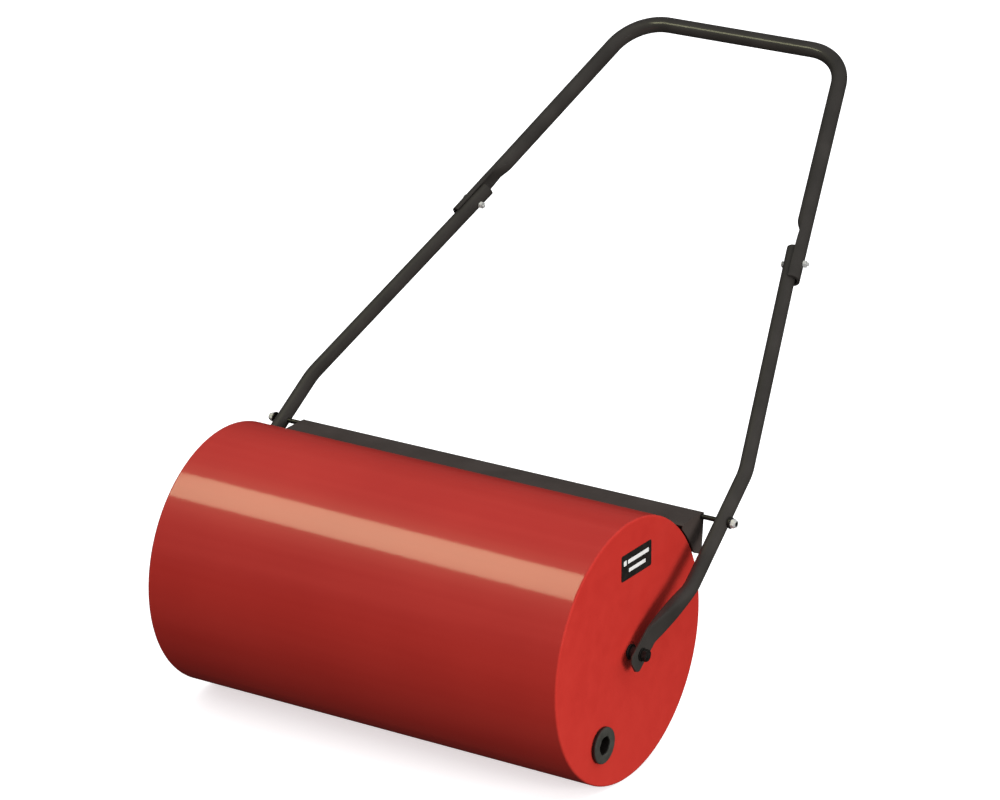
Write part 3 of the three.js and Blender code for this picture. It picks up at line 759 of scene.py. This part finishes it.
def pressed_section(pressed, inside):
    """The upper tube's wall. Its inner side is pressed onto the outer side, which leaves a C."""
    radius, gap = (UPPER_RADIUS - TUBE_WALL, SLIT) if inside else (UPPER_RADIUS, PRESSED)
    quarter = pi / 2
    points = []
    for part, value in SAMPLES:
        if part == "back":
            cupped = round_tube = (-radius * cos(value * quarter), radius * sin(value * quarter))
        elif part == "lip":
            side, u = value
            angle = quarter - LIP * u
            round_tube = (radius * cos(angle), side * radius * sin(angle))
            cupped = (0.35 * gap * sin(pi * u), side * (radius - gap / 2 + gap / 2 * cos(pi * u)))
        else:
            angle = value * (quarter - LIP)
            round_tube = (radius * cos(angle), radius * sin(angle))
            folded = radius - gap
            cupped = (-folded * cos(value * quarter), folded * sin(value * quarter))
        across, normal = (lerp(r, c, pressed) for r, c in zip(round_tube, cupped))
        across += LIP_REACH * pressed * (1 - min(abs(across) / radius, 1))
        points.append((-across, normal * (1 + LIP_SPREAD * pressed)))
    return points


def crushed_section(opened, width, inside):
    """The lower tube's wall, opened from a flat strip of two walls (0) to round (1)."""
    wall = TUBE_WALL if inside else 0
    half_thickness = lerp(PRESSED / 2, LOWER_RADIUS, sin(opened * pi / 2)) - wall
    half_width = lerp(pi / 2 * LOWER_RADIUS, LOWER_RADIUS, opened) - wall
    power = lerp(0.25, 1, opened ** 2)

    def bulge(value):
        return copysign(abs(value) ** power, value)

    around = [2 * pi * (i + 0.5) / CRUSHED_POINTS for i in range(CRUSHED_POINTS)]
    return [(half_thickness * bulge(cos(a)), half_width * width * bulge(sin(a))) for a in around]


def tube(path, distances, section_at):
    """A hollow tube along a path. section_at(d, inside) gives points (across, normal) of its wall."""
    rings = []
    for inside in (False, True):
        for d in reversed(distances) if inside else distances:
            centre, heading = path.at(d)
            rings.append([(centre.x + across * heading.y, centre.y - across * heading.x, normal)
                          for across, normal in section_at(d, inside)])
    return loft(rings, closed=True)


def beside_joint(along, outwards):
    """The (x, r) of a point measured from the right joint, along its tubes and outwards."""
    return (JOINT_X - along * sin(LEAN) + outwards * cos(LEAN),
            JOINT_R + along * cos(LEAN) + outwards * sin(LEAN))


def upper_handle():
    foot = beside_joint(-UPPER_OVERLAP, UPPER_OFFSET)
    corners = ((*foot, 0), (TOP_X, TOP_R, TOP_BEND), (-TOP_X, TOP_R, TOP_BEND), (-foot[0], foot[1], 0))
    path = Path(corners)
    straight, bent = path.joins()[:2]
    press_end = UPPER_OVERLAP + LOWER_OVERLAP
    half = [0, 0.4, *steps(3, press_end, 10), *steps(press_end + 1, press_end + PRESS_FADE + 1, 22),
            *steps(press_end + 70, straight - 20, 6), *steps(straight, bent, 24), bent + 30]
    stations = sorted({round(d, 4) for d in half} | {round(path.length - d, 4) for d in half})

    def section_at(d, inside):
        from_end = min(d, path.length - d)
        return pressed_section(1 - smoothstep(from_end, press_end, press_end + PRESS_FADE), inside)

    return tube(path, stations, section_at)


def lower_tube():
    corners = (*LOWER_CORNERS, (*beside_joint(LOWER_OVERLAP, LOWER_OFFSET), 0))
    path = Path(corners)
    ends = path.joins()
    bend_stations = [d for start, end in zip(ends[0:-1:2], ends[1:-1:2]) for d in steps(start, end, 10)]
    wanted = (0, *steps(0.3, TIP_LENGTH, 8), *steps(TIP_LENGTH, FLAT_END, 12),
              *steps(FLAT_END, ROUND_START, 44), *bend_stations, *steps(ends[-2], path.length, 8))
    stations = sorted({round(d, 4) for d in wanted})

    def section_at(d, inside):
        opened = min(max((d - FLAT_END) / (ROUND_START - FLAT_END), 0), 1)
        width = lerp(TIP_WIDTH, 1, sin(min(d / TIP_LENGTH, 1) * pi / 2))
        return crushed_section(opened, width, inside)

    return tube(path, stations, section_at)


def drill(low, high, radius):
    return turned([(low, radius), (high, radius)], 32, closed=False)


joint_drill = drill(-22, 22, JOINT_BOLT_RADIUS + CLEAR)
end_drills = [(joint_drill, joint_place(side), "DIFFERENCE") for side in (1, -1)]
make("grip_tube", upper_handle(), HANDLE, "frame", "black_enamel", ["upper_handle"], end_drills,
     crease=50)
axle_drill = drill(TONGUE_X - 9, TONGUE_X + 9, SHAFT_RADIUS + CLEAR)
rod_drill = drill(290, 340, ROD_RADIUS + CLEAR)
for side, mirror in (("right", Matrix.Identity(4)), ("left", MIRROR)):
    flip = ABOUT_AXLE @ mirror @ ABOUT_AXLE.inverted()
    tools = [(axle_drill, flip @ ABOUT_AXLE, "DIFFERENCE"),
             (rod_drill, flip @ ROD_LINE, "DIFFERENCE"),
             (joint_drill, flip @ joint_place(1), "DIFFERENCE")]
    make(f"fork_tube_{side}", lower_tube(), flip @ HANDLE, "frame", "black_enamel", [f"lower_tube_{side}"],
         tools, crease=50)

# ---- Joint bolts and tie rod -----------------------------------------------------------------------

JOINT_INNER = LOWER_OFFSET - LOWER_RADIUS - 0.3
JOINT_OUTER = UPPER_OFFSET + UPPER_RADIUS + 0.3


def joint_bolt(head_x, nut_x):
    """A round-headed bolt, head towards -X."""
    radius, start = JOINT_BOLT_RADIUS, nut_x - 4
    dome = [(head_x - HEAD_HEIGHT * cos(t), HEAD_RADIUS * sin(t)) for t in steps(0, pi / 2 * 0.96, 9)]
    under = [(head_x - 0.1, HEAD_RADIUS), (head_x, HEAD_RADIUS - 0.2)]
    end = nut_x + JOINT_NUT_HEIGHT + JOINT_TIP
    cut = thread(JOINT_PITCH, 0.6 * JOINT_PITCH, start, end, chamfer=0.7, tip=end)
    shank = [(head_x, radius + 0.3), (head_x + 0.4, radius), (start - 1, radius)]
    profile = [*dome, *under, *shank, *((x, radius) for x in steps(start, end, 84)), (end, 0)]
    return turned(profile, 48, reach=lambda x, r, a: cut(x, r, a) if r == radius and x > start else r)


for side, sign in (("right", 1), ("left", -1)):
    head_x, nut_x = (JOINT_INNER, JOINT_OUTER) if sign > 0 else (-JOINT_OUTER, -JOINT_INNER)
    nut = hex_nut(nut_x, nut_x + JOINT_NUT_HEIGHT, JOINT_NUT_FLATS, JOINT_BOLT_RADIUS + 0.04,
                  JOINT_PITCH)
    place = joint_place(sign)
    make(f"bolt_{side}", joint_bolt(head_x, nut_x), place, "frame", "zinc_plate", [f"joint_bolt_{side}"])
    make(f"bolt_nut_{side}", nut, place, "frame", "zinc_plate", [f"joint_nut_{side}"])

half_rod = threaded_rod(0, span("tie_rod")[1], ROD_RADIUS, ROD_PITCH, ROD_THREAD)
make("rod", both_ends(half_rod), ROD_LINE, "frame", "black_fastener", ["tie_rod"])
low, high = span("rod_nut_right")
lock_nut = hex_nut(low, high, ROD_NUT_FLATS, ROD_RADIUS + 0.04, ROD_PITCH, ROD_NUT_COLLAR)
insert_start = high - ROD_NUT_COLLAR + 0.55
lock_insert = ring(insert_start, high - 0.5, ROD_RADIUS + 0.05, ROD_RADIUS + 0.15, 0.02)
rod_disc = ring(*span("rod_washer_right"), ROD_RADIUS + CLEAR, ROD_WASHER_RADIUS, 0.3)
for side, turn in SIDES.items():
    place = ROD_LINE @ turn
    make(f"rod_disc_{side}", rod_disc, place, "frame", "black_fastener", [f"rod_washer_{side}"])
    make(f"lock_nut_{side}", lock_nut, place, "frame", "zinc_plate", [f"rod_nut_{side}"])
    make(f"lock_insert_{side}", lock_insert, place, "frame", "bush_plastic")

# ---- Scraper ---------------------------------------------------------------------------------------


def folded_sheet(middle, thickness, radius):
    """The outline of a bent sheet whose middle follows the given points."""
    line = rounded(middle, [0, *[radius] * (len(middle) - 2), 0], closed=False, arc=6)
    at = [Vector(p) for p in line]
    upper, lower = [], []
    for i, p in enumerate(at):
        before = (p - at[i - 1]).normalized() if i else (at[1] - p).normalized()
        after = (at[i + 1] - p).normalized() if i < len(at) - 1 else before
        mitre = (before + after).normalized()
        out = Vector((-mitre.y, mitre.x)) * (thickness / 2 / mitre.dot(after))
        upper.append(tuple(p + out))
        lower.append(tuple(p - out))
    return lower + upper[::-1]


def cheek_plate(low):
    """The flat plate that closes one end of the scraper, cut away along the drum's curve."""
    lip, front, back, bottom = SCRAPER_FOLDS
    arc = []
    for t in steps(0, 1, 16):
        radius, angle = (lerp(a, b, t) for a, b in zip(CHEEK_TOP, CHEEK_BOTTOM))
        arc.append((radius * cos(angle), radius * sin(angle)))
    radii = [1.5, 0, *[0] * (len(arc) - 1), 1.2, 2.0, 0.5]
    outline = rounded([front, lip, *arc, bottom, back], radii, arc=5)
    return extruded(outline, low, low + SCRAPER_SHEET)


low, high = span("scraper")
scraper_tools = [(cheek_plate(x), ABOUT_AXLE, "UNION") for x in (low, high - SCRAPER_SHEET)]
scraper_tools.append((drill(low - 5, high + 5, ROD_RADIUS + CLEAR), ROD_LINE, "DIFFERENCE"))
scraper = extruded(folded_sheet(SCRAPER_FOLDS, SCRAPER_SHEET, FOLD_RADIUS), low, high)
make("scraper_plate", scraper, ABOUT_AXLE, "scraper", "brown_enamel_painted_light", ["scraper"], scraper_tools)

# ---- Camera, floor and light -----------------------------------------------------------------------

CAMERA_AT = Vector((2.75933, -4.15317, 2.27273))
CAMERA_AZIMUTH, CAMERA_ELEVATION = radians(32.5502), radians(20.4746)
LENS, SENSOR_WIDTH = 164.84, 36  # mm

camera = bpy.data.objects.new("camera", bpy.data.cameras.new("camera"))
camera.data.lens, camera.data.sensor_width = LENS, SENSOR_WIDTH
camera.location = CAMERA_AT
towards_camera = Vector((sin(CAMERA_AZIMUTH) * cos(CAMERA_ELEVATION),
                         -cos(CAMERA_AZIMUTH) * cos(CAMERA_ELEVATION), sin(CAMERA_ELEVATION)))
camera.rotation_mode = "QUATERNION"
camera.rotation_quaternion = (-towards_camera).to_track_quat("-Z", "Y")
bpy.context.scene.collection.objects.link(camera)
bpy.context.scene.camera = camera
bpy.context.scene.view_settings.view_transform = "Standard"


def floor():
    size = 60
    mesh = bpy.data.meshes.new("floor")
    corners = [(-size, -size, 0), (size, -size, 0), (size, size, 0), (-size, size, 0)]
    mesh.from_pydata(corners, [], [(0, 1, 2, 3)])
    plane = bpy.data.objects.new("floor", mesh)
    bpy.context.scene.collection.objects.link(plane)
    pale = Finish("floor", Roughness=0.9, Specular_IOR_Level=0.1)
    pale.set("Base Color", pale.ramp(pale.noise(0.6, detail=2), (0.3, 0.90), (0.7, 0.93)))
    pale.set("Emission Color", (0.99, 0.99, 1.0, 1))
    pale.set("Emission Strength", 0.6)
    plane.data.materials.append(pale.material)
    plane.visible_diffuse = plane.visible_glossy = False


def softbox(name, at, facing, across, width, height, power):
    """A rectangular lamp at a point, facing along one direction, with its width along another."""
    lamp = bpy.data.lights.new(name, "AREA")
    lamp.shape, lamp.size, lamp.size_y, lamp.energy = "RECTANGLE", width, height, power
    holder = bpy.data.objects.new(name, lamp)
    back = -Vector(facing).normalized()
    up = back.cross(Vector(across)).normalized()
    turn = Matrix((up.cross(back), up, back)).transposed()
    holder.matrix_world = Matrix.Translation(at) @ turn.to_4x4()
    holder.visible_camera = False
    bpy.context.scene.collection.objects.link(holder)
    return holder


def studio():
    """A pale dome that is dim below the horizon, and dimmer where it is only mirrored."""
    world = bpy.data.worlds.new("studio")
    bpy.context.scene.world = world
    world.use_nodes = True
    tree = world.node_tree
    background = tree.nodes["Background"]
    place = tree.nodes.new("ShaderNodeTexCoord")
    split = tree.nodes.new("ShaderNodeSeparateXYZ")
    ramp = tree.nodes.new("ShaderNodeValToRGB")
    tree.links.new(place.outputs["Generated"], split.inputs[0])
    tree.links.new(split.outputs["Z"], ramp.inputs[0])
    ramp.color_ramp.elements[0].position, ramp.color_ramp.elements[0].color = 0.0, (0.15, 0.145, 0.14, 1)
    ramp.color_ramp.elements[1].position, ramp.color_ramp.elements[1].color = 1.0, (1, 1, 1, 1)
    horizon = ramp.color_ramp.elements.new(0.06)
    horizon.color = (0.48, 0.48, 0.48, 1)
    tree.links.new(ramp.outputs["Color"], background.inputs["Color"])
    path = tree.nodes.new("ShaderNodeLightPath")
    strength = tree.nodes.new("ShaderNodeMapRange")
    strength.inputs["To Min"].default_value, strength.inputs["To Max"].default_value = 1.18, 0.07
    tree.links.new(path.outputs["Is Glossy Ray"], strength.inputs["Value"])
    tree.links.new(strength.outputs["Result"], background.inputs["Strength"])


floor()
studio()

# The band of light along the drum is the mirror image of this lamp, which only shows in reflections.
BAND_LIGHT = Vector((-0.942, -0.6276, 1.7242))
BAND = Vector((BAND_LIGHT.x, -0.1066, 0.2793))  # its aim, on the drum's wall carried on past the end
key = softbox("key", BAND_LIGHT, BAND - BAND_LIGHT, across=(0.978, -0.196, -0.071),
              width=0.95, height=0.664, power=17)
key.data.color = (1.0, 1.0, 0.62)
key.visible_diffuse = False

SIDE_LIGHT = Vector((2.6, -0.6, 0.6))
LABEL_END = Vector((0.28, 0, 0.2))
side_fill = softbox("side_fill", SIDE_LIGHT, LABEL_END - SIDE_LIGHT, across=(1, 2.4, 0),
                    width=1.0, height=1.0, power=45)
side_fill.visible_glossy = False
